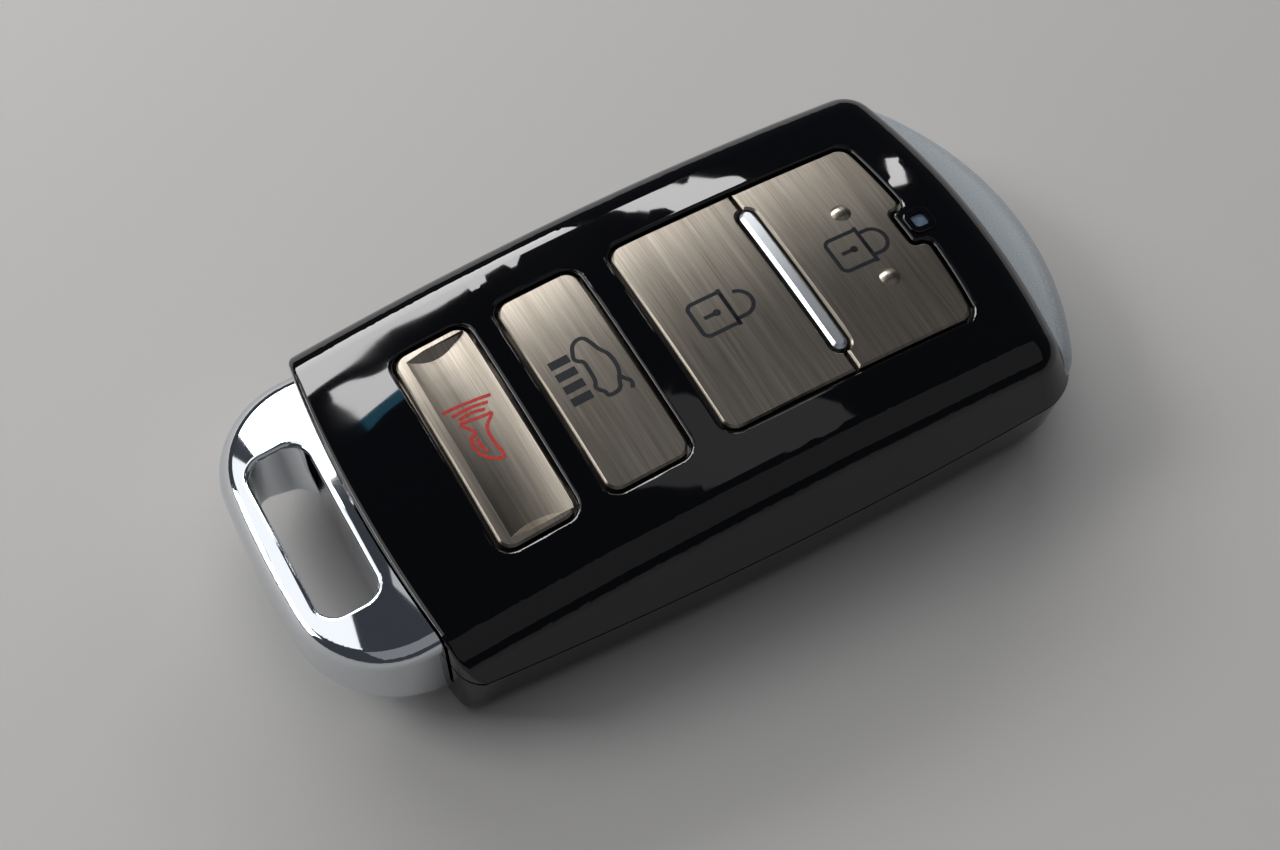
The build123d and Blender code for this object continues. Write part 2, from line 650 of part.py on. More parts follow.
def make_switch_bodies():
    bore = PLUNGER_DIAMETER + PLUNGER_GAP + PLUNGER_GAP
    group = []
    for x in BUTTONS_X.values():
        body = centred(x, 0, BOARD_TOP_Z, SWITCH_WIDTH, SWITCH_WIDTH, SWITCH_HEIGHT)
        body = chamfer(body.edges().filter_by(Axis.Z), SWITCH_WIDTH / 8)
        floor = SWITCH_TOP_Z - CAP_TRAVEL - PLUNGER_GAP - PLUNGER_GAP
        group.append(body - drum(x, 0, floor, SWITCH_TOP_Z + OVERRUN, bore))
    return Compound(children=group)


def make_switch_plunger(x):
    button = drum(x, 0, SWITCH_TOP_Z - PLUNGER_GAP, PLUNGER_TOP_Z, PLUNGER_DIAMETER)
    return chamfer(button.edges().sort_by(Axis.Z)[-1], PLUNGER_PROUD / 3)


def make_chip(x, y, length, width, height):
    chip = centred(x, y, BOARD_TOP_Z, length, width, height)
    return chamfer(chip.faces().sort_by(Axis.Z)[-1].edges(), height / 8)


def make_antenna_coil():
    """Ferrite core with a winding between two cheeks, beside the keypad."""
    half = COIL_LENGTH / 2
    wound = centred(COIL_X, COIL_Y, BOARD_TOP_Z + COIL_CORE_INSET, COIL_LENGTH - COIL_CHEEK,
                    COIL_WIDTH - COIL_CORE_INSET, COIL_HEIGHT - COIL_CORE_INSET - COIL_CORE_INSET)
    for side in (-1, 1):
        cheek_x = COIL_X + side * (half - COIL_CHEEK / 2)
        wound = wound + centred(cheek_x, COIL_Y, BOARD_TOP_Z, COIL_CHEEK, COIL_WIDTH, COIL_HEIGHT)
    return wound


def make_coin_cell():
    cell = drum(CELL_X, 0, CELL_BOTTOM_Z, CELL_TOP_Z, CELL_DIAMETER)
    return chamfer(cell.edges().filter_by(GeomType.CIRCLE), CELL_EDGE)


def negative_contact(grow=0):
    """Leaf over the cell with a leg up to the board."""
    z0 = CELL_TOP_Z + CONTACT_CLEARANCE
    half = CONTACT_WIDTH / 2 + grow
    x0 = CELL_X - CONTACT_LENGTH / 2
    leaf = block(x0 - grow, CELL_X + CONTACT_LENGTH / 2 + grow, -half, half, z0 - grow,
                 z0 + CONTACT_THICKNESS + grow)
    leg = block(x0 - grow, x0 + CONTACT_THICKNESS + grow, -half, half, z0, SEAM_Z)
    return leaf + leg


def positive_contact(grow=0):
    """Strip up the rim of the cell with a foot on the board's underside."""
    y0 = CELL_DIAMETER / 2 + CONTACT_CLEARANCE
    half = CONTACT_WIDTH / 2 + grow
    strip = block(CELL_X - half, CELL_X + half, y0 - grow, y0 + CONTACT_THICKNESS + grow,
                  CELL_BOTTOM_Z, SEAM_Z)
    foot = block(CELL_X - half, CELL_X + half, y0 - grow, y0 + CONTACT_WIDTH + grow,
                 SEAM_Z - CONTACT_THICKNESS - grow, SEAM_Z)
    return strip + foot


def make_inner_frame():
    frame = prism(cut_outline(CARRIER_INSET, CARRIER_NEAR_X), CELL_BOTTOM_Z, SEAM_Z)
    frame = frame & front_and_rear_room()
    frame = frame - pad(CARRIER_NEAR_X - OVERRUN, BAY_FAR_X, BAY_HALF_WIDTH, 0, PEAK_Z)
    channel = BLADE_HALF_WIDTH + BLADE_CLEARANCE
    frame = frame - pad(BAY_FAR_X - OVERRUN, BLADE_TIP_X + BLADE_CLEARANCE + BLADE_CLEARANCE, channel,
                        BLADE_Z - BLADE_CLEARANCE, BLADE_Z + BLADE_THICKNESS + BLADE_CLEARANCE)
    cup = CELL_DIAMETER + CELL_CLEARANCE + CELL_CLEARANCE
    frame = frame - drum(CELL_X, 0, 0, CELL_TOP_Z + CONTACT_CLEARANCE, cup)
    frame = frame - negative_contact(CONTACT_CLEARANCE) - positive_contact(CONTACT_CLEARANCE)
    for side in (-1, 1):
        low, high = sorted((side * POCKET_Y0, side * POCKET_Y1))
        pocket = block(POCKET_X0, POCKET_X1, low, high, 0, SEAM_Z - POCKET_WALL)
        frame = frame - pocket
    seat = LEAF_HALF_WIDTH + LEAF_LIFT
    return frame - pad(BAY_FAR_X - OVERRUN, LEAF_FAR_X + LEAF_LIFT, seat, LEAF_Z, SEAM_Z + OVERRUN)


def front_and_rear_room():
    """Space inside the rear shell that the carrier may fill."""
    return rear_form(WALL + CARRIER_CLEARANCE, FLOOR + CARRIER_CLEARANCE, END_WALL + CARRIER_CLEARANCE)


def make_key_head():
    """Chrome loop with the block that carries the blade."""
    tip_circle = Pos(HEAD_TIP_X + HEAD_TIP_RADIUS, 0) * Circle(HEAD_TIP_RADIUS)
    reach = NEAR_X - HEAD_TIP_X + OVERRUN
    shape = Pos(HEAD_TIP_X + reach / 2, 0) * Rectangle(reach, HEAD_HALF_WIDTH + HEAD_HALF_WIDTH)
    shape = shape & tip_circle
    corners = shape.vertices().sort_by(Axis.X)[:2]
    shape = fillet(corners, HEAD_CORNER_RADIUS)
    head = prism(shape)
    top = Polyline((HEAD_TIP_X - OVERRUN, head_top(HEAD_TIP_X - OVERRUN)),
                   (NEAR_X + OVERRUN, head_top(NEAR_X + OVERRUN)),
                   (NEAR_X + OVERRUN, head_bottom(NEAR_X + OVERRUN)),
                   (HEAD_TIP_X - OVERRUN, head_bottom(HEAD_TIP_X - OVERRUN)), close=True)
    wedge = extrude(Plane.XZ * make_face(top), TOOL_REACH, both=True)
    head = head & wedge
    uppers = [e for e in head.edges() if e.center().Z > head_top(e.center().X) - HEAD_TOP_EDGE / 3
              and e.center().X < NEAR_X]
    head = fillet(uppers, HEAD_TOP_EDGE)
    lowers = [e for e in head.edges() if e.center().Z < head_bottom(e.center().X) + HEAD_BOTTOM_EDGE / 3
              and e.center().X < NEAR_X]
    head = fillet(lowers, HEAD_BOTTOM_EDGE)
    window = Rectangle(LOOP_NEAR_X - LOOP_TIP_X, LOOP_HALF_WIDTH + LOOP_HALF_WIDTH)
    window = fillet(window.vertices(), LOOP_CORNER_RADIUS)
    cut = prism(Pos((LOOP_NEAR_X + LOOP_TIP_X) / 2, 0) * window)
    head = head - cut
    rims = [e for e in head.edges() if abs(e.center().Y) < LOOP_HALF_WIDTH + LOOP_EDGE / 2
            and LOOP_TIP_X - LOOP_EDGE / 2 < e.center().X < LOOP_NEAR_X + LOOP_EDGE / 2
            and abs(e.tangent_at(0.5).Z) < 0.5]
    head = fillet(rims, LOOP_EDGE)
    head = head - prism(near_end(-HEAD_GAP), 0, PEAK_Z)
    tang = pad(NEAR_X - HEAD_GAP - OVERRUN / 8, TANG_END_X, TANG_HALF_WIDTH, TANG_BOTTOM_Z, TANG_TOP_Z)
    head = head + tang
    slot = pad(BLADE_ROOT_X - BLADE_FIT, TANG_END_X + OVERRUN, BLADE_HALF_WIDTH + BLADE_FIT,
               BLADE_Z - BLADE_FIT, BLADE_Z + BLADE_THICKNESS + BLADE_FIT)
    head = head - slot - drum(PIN_X, 0, 0, PEAK_Z, PIN_DIAMETER)
    notch = pad(NOTCH_NEAR_X, NOTCH_NEAR_X + NOTCH_LENGTH, LEAF_HALF_WIDTH + LEAF_LIFT,
                TANG_TOP_Z - NOTCH_DEPTH, TANG_TOP_Z + OVERRUN)
    return head - notch


def head_top(x):
    """Height of the loop's top face along its length."""
    share = (x - HEAD_TIP_X) / (NEAR_X - HEAD_TIP_X)
    return HEAD_TOP_TIP_Z + (HEAD_TOP_NEAR_Z - HEAD_TOP_TIP_Z) * share


def head_bottom(x):
    """Height of the loop's underside along its length."""
    share = (x - HEAD_TIP_X) / (NEAR_X - HEAD_TIP_X)
    return HEAD_BOTTOM_TIP_Z + (HEAD_BOTTOM_NEAR_Z - HEAD_BOTTOM_TIP_Z) * share


def make_key_blade():
    """Flat blade with a pointed tip and cuts along one edge."""
    blade = pad(BLADE_ROOT_X, BLADE_TIP_X, BLADE_HALF_WIDTH, BLADE_Z, BLADE_Z + BLADE_THICKNESS)
    corners = blade.edges().filter_by(Axis.Z).sort_by(Axis.X)[-2:]
    blade = chamfer(corners, BLADE_TIP_BEVEL)
    for index, share in enumerate(CUT_DEPTHS_SHARES):
        x = CUT_FIRST_X + index * CUT_SPACING
        depth = CUT_FULL_DEPTH * share
        edge = BLADE_HALF_WIDTH + OVERRUN / 4
        mouth = CUT_FLAT / 2 + (depth + OVERRUN / 4) * tan(radians(CUT_FLANK_DEG))
        bottom = BLADE_HALF_WIDTH - depth
        vee = Polyline((x - mouth, edge), (x - CUT_FLAT / 2, bottom), (x + CUT_FLAT / 2, bottom),
                       (x + mouth, edge), close=True)
        blade = blade - prism(make_face(vee), BLADE_Z - OVERRUN, BLADE_Z + BLADE_THICKNESS + OVERRUN)
    return blade - drum(PIN_X, 0, 0, PEAK_Z, PIN_DIAMETER)


def make_key_pin():
    return drum(PIN_X, 0, TANG_BOTTOM_Z, TANG_TOP_Z, PIN_DIAMETER)


def make_release_button():
    """Ridged push button in the back, with two arms that reach the latch spring."""
    body = release_window(0) & block(NEAR_X, 0, -TOOL_REACH, TOOL_REACH, RELEASE_RECESS, FLOOR + OVERRUN)
    flange_z = FLOOR + RELEASE_GAP
    x0 = RELEASE_X - RELEASE_LENGTH / 2
    x1 = RELEASE_X + RELEASE_LENGTH / 2
    margin = RELEASE_FLANGE_MARGIN
    body = body & block(NEAR_X, 0, -TOOL_REACH, TOOL_REACH, 0, flange_z + RELEASE_FLANGE)
    body = body + pad(x0 + margin, x1 - margin, RELEASE_FLANGE_HALF_WIDTH, flange_z, flange_z + RELEASE_FLANGE)
    for side in (-1, 1):
        low, high = sorted((side * ARM_INNER_Y, side * RELEASE_FLANGE_HALF_WIDTH))
        arm_x = RELEASE_X - ARM_LENGTH / 2
        body = body + block(arm_x, arm_x + ARM_LENGTH, low, high, flange_z, LEAF_Z - LEAF_LIFT)
    first = RELEASE_X - RELEASE_RIDGE_SPACING * (RELEASE_RIDGES - 1) / 2
    for index in range(RELEASE_RIDGES):
        x = first + index * RELEASE_RIDGE_SPACING
        ridge = pad(x - RELEASE_RIDGE_WIDTH / 2, x + RELEASE_RIDGE_WIDTH / 2,
                    RELEASE_HALF_WIDTH - RELEASE_CORNER_RADIUS, RELEASE_RECESS - RELEASE_RIDGE_DEPTH, FLOOR)
        body = body + ridge
    return body


def make_latch_spring():
    """Leaf over the tang, with a tooth in its notch and tabs over the button's arms."""
    leaf = pad(LEAF_NEAR_X, LEAF_FAR_X, LEAF_HALF_WIDTH, LEAF_Z, LEAF_Z + LEAF_THICKNESS)
    arm_x = RELEASE_X - ARM_LENGTH / 2
    leaf = leaf + pad(arm_x, arm_x + ARM_LENGTH, RELEASE_FLANGE_HALF_WIDTH, LEAF_Z, LEAF_Z + LEAF_THICKNESS)
    tooth_x = NOTCH_NEAR_X + TOOTH_INSET
    tooth = pad(tooth_x, tooth_x + NOTCH_LENGTH - TOOTH_INSET - TOOTH_INSET, LEAF_HALF_WIDTH,
                TANG_TOP_Z - NOTCH_DEPTH + TOOTH_INSET, LEAF_Z)
    return leaf + tooth


PIECES = {
    "front_shell": make_front_shell,
    "rear_shell": make_rear_shell,
    "end_trim": make_end_trim,
    "lock_button": make_lock_button,
    "unlock_button": make_unlock_button,
    "boot_button": make_boot_button,
    "panic_button": make_panic_button,
    "divider_bar": make_divider_bar,
    "led_lens": make_led_lens,
    "keypad_membrane": make_keypad_membrane,
    "circuit_board": make_circuit_board,
    "switch_bodies": make_switch_bodies,
    "antenna_coil": make_antenna_coil,
    "coin_cell": make_coin_cell,
    "battery_contact_negative": negative_contact,
    "battery_contact_positive": positive_contact,
    "inner_frame": make_inner_frame,
    "key_head": make_key_head,
    "key_blade": make_key_blade,
    "key_pin": make_key_pin,
    "release_button": make_release_button,
    "latch_spring": make_latch_spring,
}
CHIPS = {
    "controller_chip": (CONTROLLER_X, CONTROLLER_Y, CONTROLLER_WIDTH, CONTROLLER_WIDTH, CHIP_HEIGHT),
    "radio_chip": (RADIO_X, RADIO_Y, RADIO_WIDTH, RADIO_WIDTH, CHIP_HEIGHT),
    "timing_crystal": (CRYSTAL_X, CRYSTAL_Y, CRYSTAL_LENGTH, CRYSTAL_WIDTH, CHIP_HEIGHT),
    "status_led": (LENS_X, 0, LED_LENGTH, LED_WIDTH, LED_HEIGHT),
}

for name, maker in PIECES.items():
    export_step(maker(), f"parts/{name}.step")
for name, sizes in CHIPS.items():
    export_step(make_chip(*sizes), f"parts/{name}.step")
for name, place_x in BUTTONS_X.items():
    export_step(make_switch_plunger(place_x), f"parts/{name}_switch_plunger.step")
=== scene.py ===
"""Looks of a smart car key fob, laid out as an add-on and run as a script."""
from collections import namedtuple
from math import ceil, cos, hypot, pi, radians, sin, tan

import bmesh
import bpy
from mathutils import Matrix, Vector


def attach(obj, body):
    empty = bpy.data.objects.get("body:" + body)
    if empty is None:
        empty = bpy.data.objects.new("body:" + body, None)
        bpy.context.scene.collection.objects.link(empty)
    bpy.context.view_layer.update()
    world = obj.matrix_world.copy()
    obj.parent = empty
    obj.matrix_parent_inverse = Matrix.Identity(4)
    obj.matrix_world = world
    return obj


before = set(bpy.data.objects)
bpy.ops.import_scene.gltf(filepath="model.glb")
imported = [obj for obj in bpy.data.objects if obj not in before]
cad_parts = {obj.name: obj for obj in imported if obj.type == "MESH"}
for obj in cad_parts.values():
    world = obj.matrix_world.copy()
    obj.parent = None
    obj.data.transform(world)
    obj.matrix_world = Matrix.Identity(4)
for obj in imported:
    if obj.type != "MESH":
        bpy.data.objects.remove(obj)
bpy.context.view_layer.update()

bl_info = {
    "name": "Car key fob",
    "version": (1, 0, 0),
    "blender": (4, 5, 0),
    "location": "3D View > Sidebar > Key fob",
    "description": "Finishes, printed symbols and studio of a smart car key fob",
    "category": "Object",
}

MM = 0.001

# Printed symbols.
LOCK_FOOT = 18.5         # millimetres along the fob to the closed padlock's foot
UNLOCK_FOOT = 4.1        # and to the open padlock's foot
BAR_WIDTH = 0.85         # millimetres, one bar beside the saloon
DRAWN_AT = 20 * MM       # height at which a symbol is drawn, above every cap
SHARPEST_MITRE = 0.5     # cosine of half a bend, past which the bend's corner grows no longer

FLOOR_SIZE = 3.0         # metres
SENSOR_WIDTH = 36.0      # millimetres

# Directions in degrees: azimuth from the fob's far side (+Y) towards its far end (+X), elevation, and roll
# about the lamp's own middle. Wide and high are degrees as seen from the fob, distance is in metres, and
# radiance is how bright the lamp's face is.
Lamp = namedtuple("Lamp", "name azimuth elevation wide high radiance distance roll colour",
                  defaults=(1.0, 0, "ffffff"))
ROOM_LAMPS = (
    Lamp("room_back", 13, 28, 70, 14, 8.0, distance=0.9),
    Lamp("room_left", -51, 37, 24, 21, 8.6, distance=0.8),
    Lamp("room_right", 71, 25, 19, 19, 2.2, distance=0.9),
    Lamp("room_top", 0, 88, 60, 60, 0.6, distance=0.9),
)
CARDS = (
    Lamp("card_back_left", -6, 36, 34, 24, 11.0),
    Lamp("card_back_right", 26, 44.2, 16, 2.4, 11.0, roll=-9),
    Lamp("card_corner", 46, 41.5, 1.3, 4.2, 11.0, roll=25),
    Lamp("card_patch", -8.5, 51.5, 5, 4, 11.0),
    Lamp("card_patch_edge", -9, 54.2, 4.5, 1.6, 2.5, colour="4f9fc0"),
    Lamp("card_left", -62, 14, 34, 18, 5.0),
    Lamp("card_high_left", -52, 42, 38, 36, 1.25),
    Lamp("card_sky", 45, 69, 20, 9, 0.5),
    Lamp("card_near", 180, 52, 90, 60, 0.2),
)

# Finishes that need only two near tones and a fine grain; grit is the grain's size in millimetres.
Finish = namedtuple("Finish", "name tone pale_tone grit roughness metallic nodes")
ROUGHNESS_SPREAD = 0.06
# Polycarbonate moulded in a smoky tint: smooth, cold grey and a little cloudy.
LIGHT_PIPE = Finish("smoked_light_pipe", "465566", "556576", 0.6, 0.2, 0.0, ("led_lens", "status_led"))
INNER_FINISHES = (
    # Glass-fibre board, screen coated: green solder mask with a half gloss.
    Finish("solder_masked_board", "14492c", "1c5a38", 0.4, 0.35, 0.0, ("circuit_board",)),
    # Nylon with glass fibre, moulded: near black and dull, with the fibres' fine grain.
    Finish("glass_filled_nylon", "151618", "1d1e21", 0.12, 0.6, 0.0, (
        "inner_frame", "lock_switch_plunger", "unlock_switch_plunger", "boot_switch_plunger",
        "panic_switch_plunger")),
    # Silicone rubber, press moulded: soft dark grey with hardly a highlight.
    Finish("moulded_silicone", "35373b", "3d3f44", 0.3, 0.65, 0.0, ("keypad_membrane",)),
    # Epoxy moulded round a chip: black with a faint sheen.
    Finish("epoxy_package", "161618", "1e1e20", 0.1, 0.45, 0.0, ("controller_chip", "radio_chip")),
    # Steel, stamped and nickel plated: pale metal with a soft highlight.
    Finish("nickel_plate", "a9aaab", "bbbcbc", 0.3, 0.28, 1.0, (
        "coin_cell", "timing_crystal", "switch_bodies", "battery_contact_negative",
        "battery_contact_positive", "latch_spring")),
    # Copper wire, drawn and enamelled: brown metal under a thin varnish.
    Finish("enamelled_wire", "7c4a26", "935c33", 0.1, 0.35, 0.6, ("antenna_coil",)),
    # Brass, milled and nickel plated: grey metal with the mill's fine grain.
    Finish("nickel_plated_blade", "98999b", "adaeb0", 0.2, 0.3, 1.0, ("key_blade", "key_pin")),
)


def linear(hex_colour):
    """sRGB hex to opaque linear colour."""
    channels = [int(hex_colour[i:i + 2], 16) / 255 for i in (0, 2, 4)]
    curve = [c / 12.92 if c <= 0.04045 else ((c + 0.055) / 1.055) ** 2.4 for c in channels]
    return (*curve, 1.0)


def colour_property(name, description, hex_colour):
    """Colour that a user can pick, written as sRGB hex."""
    return bpy.props.FloatVectorProperty(
        name=name, description=description, default=linear(hex_colour), subtype="COLOR", size=4,
        min=0.0, max=1.0)


class FobSymbolSizes(bpy.types.PropertyGroup):
    """Sizes of the printed symbols"""
    stroke: bpy.props.FloatProperty(
        name="Stroke", description="Width of a printed line", default=0.38 * MM, unit="LENGTH")
    fine_stroke: bpy.props.FloatProperty(
        name="Fine stroke", description="Width of a line of the horn", default=0.33 * MM, unit="LENGTH")
    step: bpy.props.FloatProperty(
        name="Step", description="Longest run of a printed line before it bends with its cap",
        default=0.3 * MM, unit="LENGTH")
    lift: bpy.props.FloatProperty(
        name="Lift", description="How far the print stands on its cap", default=0.015 * MM, unit="LENGTH")
    ink: bpy.props.FloatProperty(
        name="Ink thickness", description="Depth of the printed layer", default=0.03 * MM, unit="LENGTH")


class FobColours(bpy.types.PropertyGroup):
    """Colours of the visible finishes and of the stage"""
    lacquer: colour_property("Lacquer", "Piano black of both shells", "030305")
    cap: colour_property("Cap metal", "Brushed champagne metal of the caps", "938b80")
    cap_groove: colour_property("Cap grooves", "Darkest brush lines of the caps", "7f786e")
    cap_ridge: colour_property("Cap ridges", "Palest brush lines of the caps", "a8a095")
    slate_ink: colour_property("Slate ink", "Print of the padlocks and the saloon", "101218")
    slate_ink_worn: colour_property("Worn slate ink", "The same print where thumbs wear it", "1d2026")
    red_ink: colour_property("Red ink", "Print of the horn", "a8241c")
    red_ink_worn: colour_property("Worn red ink", "The same print where thumbs wear it", "b8443a")
    chrome: colour_property("Chrome", "Chrome plate of the loop and the divider", "d9dde2")
    trim: colour_property("Silver trim", "Satin silver paint of the far end", "a3a9ae")
    # Painted glints and painted shade: flakes that catch the light are painted paler and flakes that face away
    # darker, spread at random.
    flake_painted_shade: colour_property("Dark flake", "Flakes of the paint that face away", "949a9f")
    flake_painted_glint: colour_property("Pale flake", "Flakes of the paint that catch the light", "b2b7bb")
    floor: colour_property("Floor", "Pale floor that the fob lies on", "b6b4b2")
    sky: colour_property("Sky", "Dim light from all round", "a9b0bd")


class FobStageSizes(bpy.types.PropertyGroup):
    """Place of the camera and strength of the sky"""
    azimuth: bpy.props.FloatProperty(
        name="Azimuth", description="Camera's turn round the fob", default=radians(-29.493), subtype="ANGLE")
    elevation: bpy.props.FloatProperty(
        name="Elevation", description="Camera's height angle", default=radians(58.959), subtype="ANGLE")
    distance: bpy.props.FloatProperty(
        name="Distance", description="Camera to its target", default=168.6 * MM, unit="LENGTH")
    target: bpy.props.FloatVectorProperty(
        name="Target", description="Point in the middle of the view", subtype="TRANSLATION", unit="LENGTH",
        default=(-5.38 * MM, -6.80 * MM, 15.0 * MM))
    lens: bpy.props.FloatProperty(
        name="Lens", description="Focal length on a 36 mm sensor", default=55.69, unit="CAMERA")
    sky_strength: bpy.props.FloatProperty(
        name="Sky strength", description="How bright the light from all round is", default=0.12)


def spaced(size):
    """Scale at which a pattern repeats about once in so many millimetres."""
    return 1 / (size * MM)


def new_material(name, **settings):
    """Material with one Principled shader, whose sockets take the settings."""
    material = bpy.data.materials.new(name)
    material.use_nodes = True
    shader = material.node_tree.nodes["Principled BSDF"]
    for socket, value in settings.items():
        shader.inputs[socket.replace("_", " ")].default_value = value
    return material, shader


def connect(node, links):
    """Links a node's inputs: {input: (source node, output)}."""
    for socket, (source, output) in links.items():
        node.id_data.links.new(source.outputs[output], node.inputs[socket])


def add_node(material, kind, links=None, stops=(), **settings):
    """Adds a node with its settings, its ramp's stops, if it has a ramp, as (place, colour), and its links."""
    node = material.node_tree.nodes.new(kind)
    for name, value in settings.items():
        if hasattr(node, name):
            setattr(node, name, value)
        else:
            node.inputs[name.replace("_", " ")].default_value = value
    if stops:
        elements = node.color_ramp.elements
        while len(elements) < len(stops):
            elements.new(0.5)
        for element, (place, colour) in zip(elements, stops):
            element.position, element.color = place, colour
    connect(node, links or {})
    return node


def gloss_lacquer(colours):
    """Piano-black lacquer over moulded ABS: deep and wet-looking, with the long waves of sprayed lacquer."""
    material, shader = new_material(
        "piano_black_lacquer", Base_Color=colours.lacquer, Roughness=0.03, IOR=1.5)
    place = add_node(material, "ShaderNodeTexCoord")
    waves = add_node(material, "ShaderNodeTexNoise", {"Vector": (place, "Object")},
                     Scale=spaced(7), Detail=0.0)
    bump = add_node(material, "ShaderNodeBump", {"Height": (waves, "Fac")}, Strength=1.0, Distance=0.08 * MM)
    connect(shader, {"Normal": (bump, "Normal")})
    return material


def brushed_metal(colours):
    """Champagne metal brushed across the fob: long fine scratches that stretch each highlight. Real scratches
    are a few hundredths of a millimetre wide, and these are drawn 0.08 mm wide so that they show."""
    material, shader = new_material("brushed_champagne_metal", Metallic=1.0, Anisotropic=0.8)
    place = add_node(material, "ShaderNodeTexCoord")
    fine = add_node(material, "ShaderNodeMapping", {"Vector": (place, "Object")},
                    Scale=(spaced(0.08), spaced(7), spaced(7)))
    scratches = add_node(material, "ShaderNodeTexNoise", {"Vector": (fine, "Vector")}, Scale=1.0, Detail=3.0)
    broad = add_node(material, "ShaderNodeMapping", {"Vector": (place, "Object")},
                     Scale=(spaced(0.6), spaced(25), spaced(25)))
    bands = add_node(material, "ShaderNodeTexNoise", {"Vector": (broad, "Vector")}, Scale=1.0, Detail=2.0)
    # The sockets 2 and 3 are the two numbers to mix.
    mixed = add_node(material, "ShaderNodeMix", {2: (scratches, "Fac"), 3: (bands, "Fac")}, Factor=0.4)
    tone = add_node(material, "ShaderNodeValToRGB", {"Fac": (mixed, "Result")},
                    stops=((0.32, colours.cap_groove), (0.5, colours.cap), (0.68, colours.cap_ridge)))
    rough = add_node(material, "ShaderNodeMapRange", {"Value": (scratches, "Fac")}, To_Min=0.27, To_Max=0.37)
    bump = add_node(material, "ShaderNodeBump", {"Height": (mixed, "Result")},
                    Strength=0.3, Distance=0.008 * MM)
    along = add_node(material, "ShaderNodeTangent", direction_type="RADIAL", axis="Y")
    connect(shader, {"Base Color": (tone, "Color"), "Roughness": (rough, "Result"),
                     "Normal": (bump, "Normal"), "Tangent": (along, "Tangent")})
    return material


def printed_ink(name, colour, worn):
    """Pad-printed ink: matt, slightly uneven, a little worn by thumbs."""
    material, shader = new_material(name, Roughness=0.6, Specular_IOR_Level=0.2)
    place = add_node(material, "ShaderNodeTexCoord")
    wear = add_node(material, "ShaderNodeTexNoise", {"Vector": (place, "Object")},
                    Scale=spaced(0.25), Detail=3.0)
    tone = add_node(material, "ShaderNodeValToRGB", {"Fac": (wear, "Fac")},
                    stops=((0.4, colour), (0.75, worn)))
    connect(shader, {"Base Color": (tone, "Color")})
    return material


def mirror_chrome(colours):
    """Chrome plate on die-cast zinc: a clean mirror with faint handling haze, gently crowned by polishing."""
    middle_x, middle_y, reach_x, reach_y = -31, -4, 5.7, 11.8     # of the crown, in millimetres
    material, shader = new_material("mirror_chrome", Base_Color=colours.chrome, Metallic=1.0)
    place = add_node(material, "ShaderNodeTexCoord")
    haze = add_node(material, "ShaderNodeTexNoise", {"Vector": (place, "Object")},
                    Scale=spaced(6), Detail=4.0)
    rough = add_node(material, "ShaderNodeMapRange", {"Value": (haze, "Fac")}, To_Min=0.02, To_Max=0.09)
    axes = add_node(material, "ShaderNodeMapping", {"Vector": (place, "Object")},
                    Scale=(spaced(reach_x), spaced(reach_y), 0),
                    Location=(-middle_x / reach_x, -middle_y / reach_y, 0))
    crown = add_node(material, "ShaderNodeVectorMath", {0: (axes, "Vector"), 1: (axes, "Vector")},
                     operation="DOT_PRODUCT")
    bump = add_node(material, "ShaderNodeBump", {"Height": (crown, "Value")}, invert=True,
                    Strength=1.0, Distance=1 * MM)
    connect(shader, {"Roughness": (rough, "Result"), "Normal": (bump, "Normal")})
    return material


def satin_chrome(colours):
    """Chrome plate on brushed metal, for the thin divider: a soft grain keeps it pale from every side. It is
    drawn 0.6 mm wide, coarser than a real one, because a finer one turns to speckles in the render."""
    material, shader = new_material("satin_chrome", Base_Color=colours.chrome, Metallic=1.0)
    place = add_node(material, "ShaderNodeTexCoord")
    along = add_node(material, "ShaderNodeMapping", {"Vector": (place, "Object")},
                     Scale=(spaced(0.6), spaced(6), spaced(6)))
    grain = add_node(material, "ShaderNodeTexNoise", {"Vector": (along, "Vector")}, Scale=1.0, Detail=1.0)
    rough = add_node(material, "ShaderNodeMapRange", {"Value": (grain, "Fac")}, To_Min=0.26, To_Max=0.32)
    connect(shader, {"Roughness": (rough, "Result")})
    return material


def silver_paint(colours):
    """Satin silver paint, sprayed: fine metal flake under a soft sheen, with painted glints and painted shade
    on the flakes in the base colour. Real flakes are about 0.03 mm, and these are drawn at 0.12 mm so that
    they show."""
    material, shader = new_material(
        "satin_silver_paint", Metallic=0.25, Roughness=0.42, Coat_Weight=0.15, Coat_Roughness=0.2)
    place = add_node(material, "ShaderNodeTexCoord")
    flake = add_node(material, "ShaderNodeTexNoise", {"Vector": (place, "Object")},
                     Scale=spaced(0.12), Detail=2.0)
    # Painted glints and painted shade: the flake tones stand in for flakes that catch the light or face away.
    tone = add_node(material, "ShaderNodeValToRGB", {"Fac": (flake, "Fac")}, stops=(
        (0.35, colours.flake_painted_shade), (0.5, colours.trim), (0.65, colours.flake_painted_glint)))
    connect(shader, {"Base Color": (tone, "Color")})
    return material


def grained(finish):
    """Material of a Finish: two near tones, an uneven gloss and a fine grain."""
    material, shader = new_material(finish.name, Metallic=finish.metallic)
    place = add_node(material, "ShaderNodeTexCoord")
    grain = add_node(material, "ShaderNodeTexNoise", {"Vector": (place, "Object")},
                     Scale=spaced(finish.grit), Detail=3.0)
    tone = add_node(material, "ShaderNodeValToRGB", {"Fac": (grain, "Fac")},
                    stops=((0.35, linear(finish.tone)), (0.65, linear(finish.pale_tone))))
    rough = add_node(material, "ShaderNodeMapRange", {"Value": (grain, "Fac")},
                     To_Min=finish.roughness - ROUGHNESS_SPREAD, To_Max=finish.roughness + ROUGHNESS_SPREAD)
    bump = add_node(material, "ShaderNodeBump", {"Height": (grain, "Fac")}, Strength=0.2, Distance=0.01 * MM)
    connect(shader, {"Base Color": (tone, "Color"), "Roughness": (rough, "Result"),
                     "Normal": (bump, "Normal")})
    return material


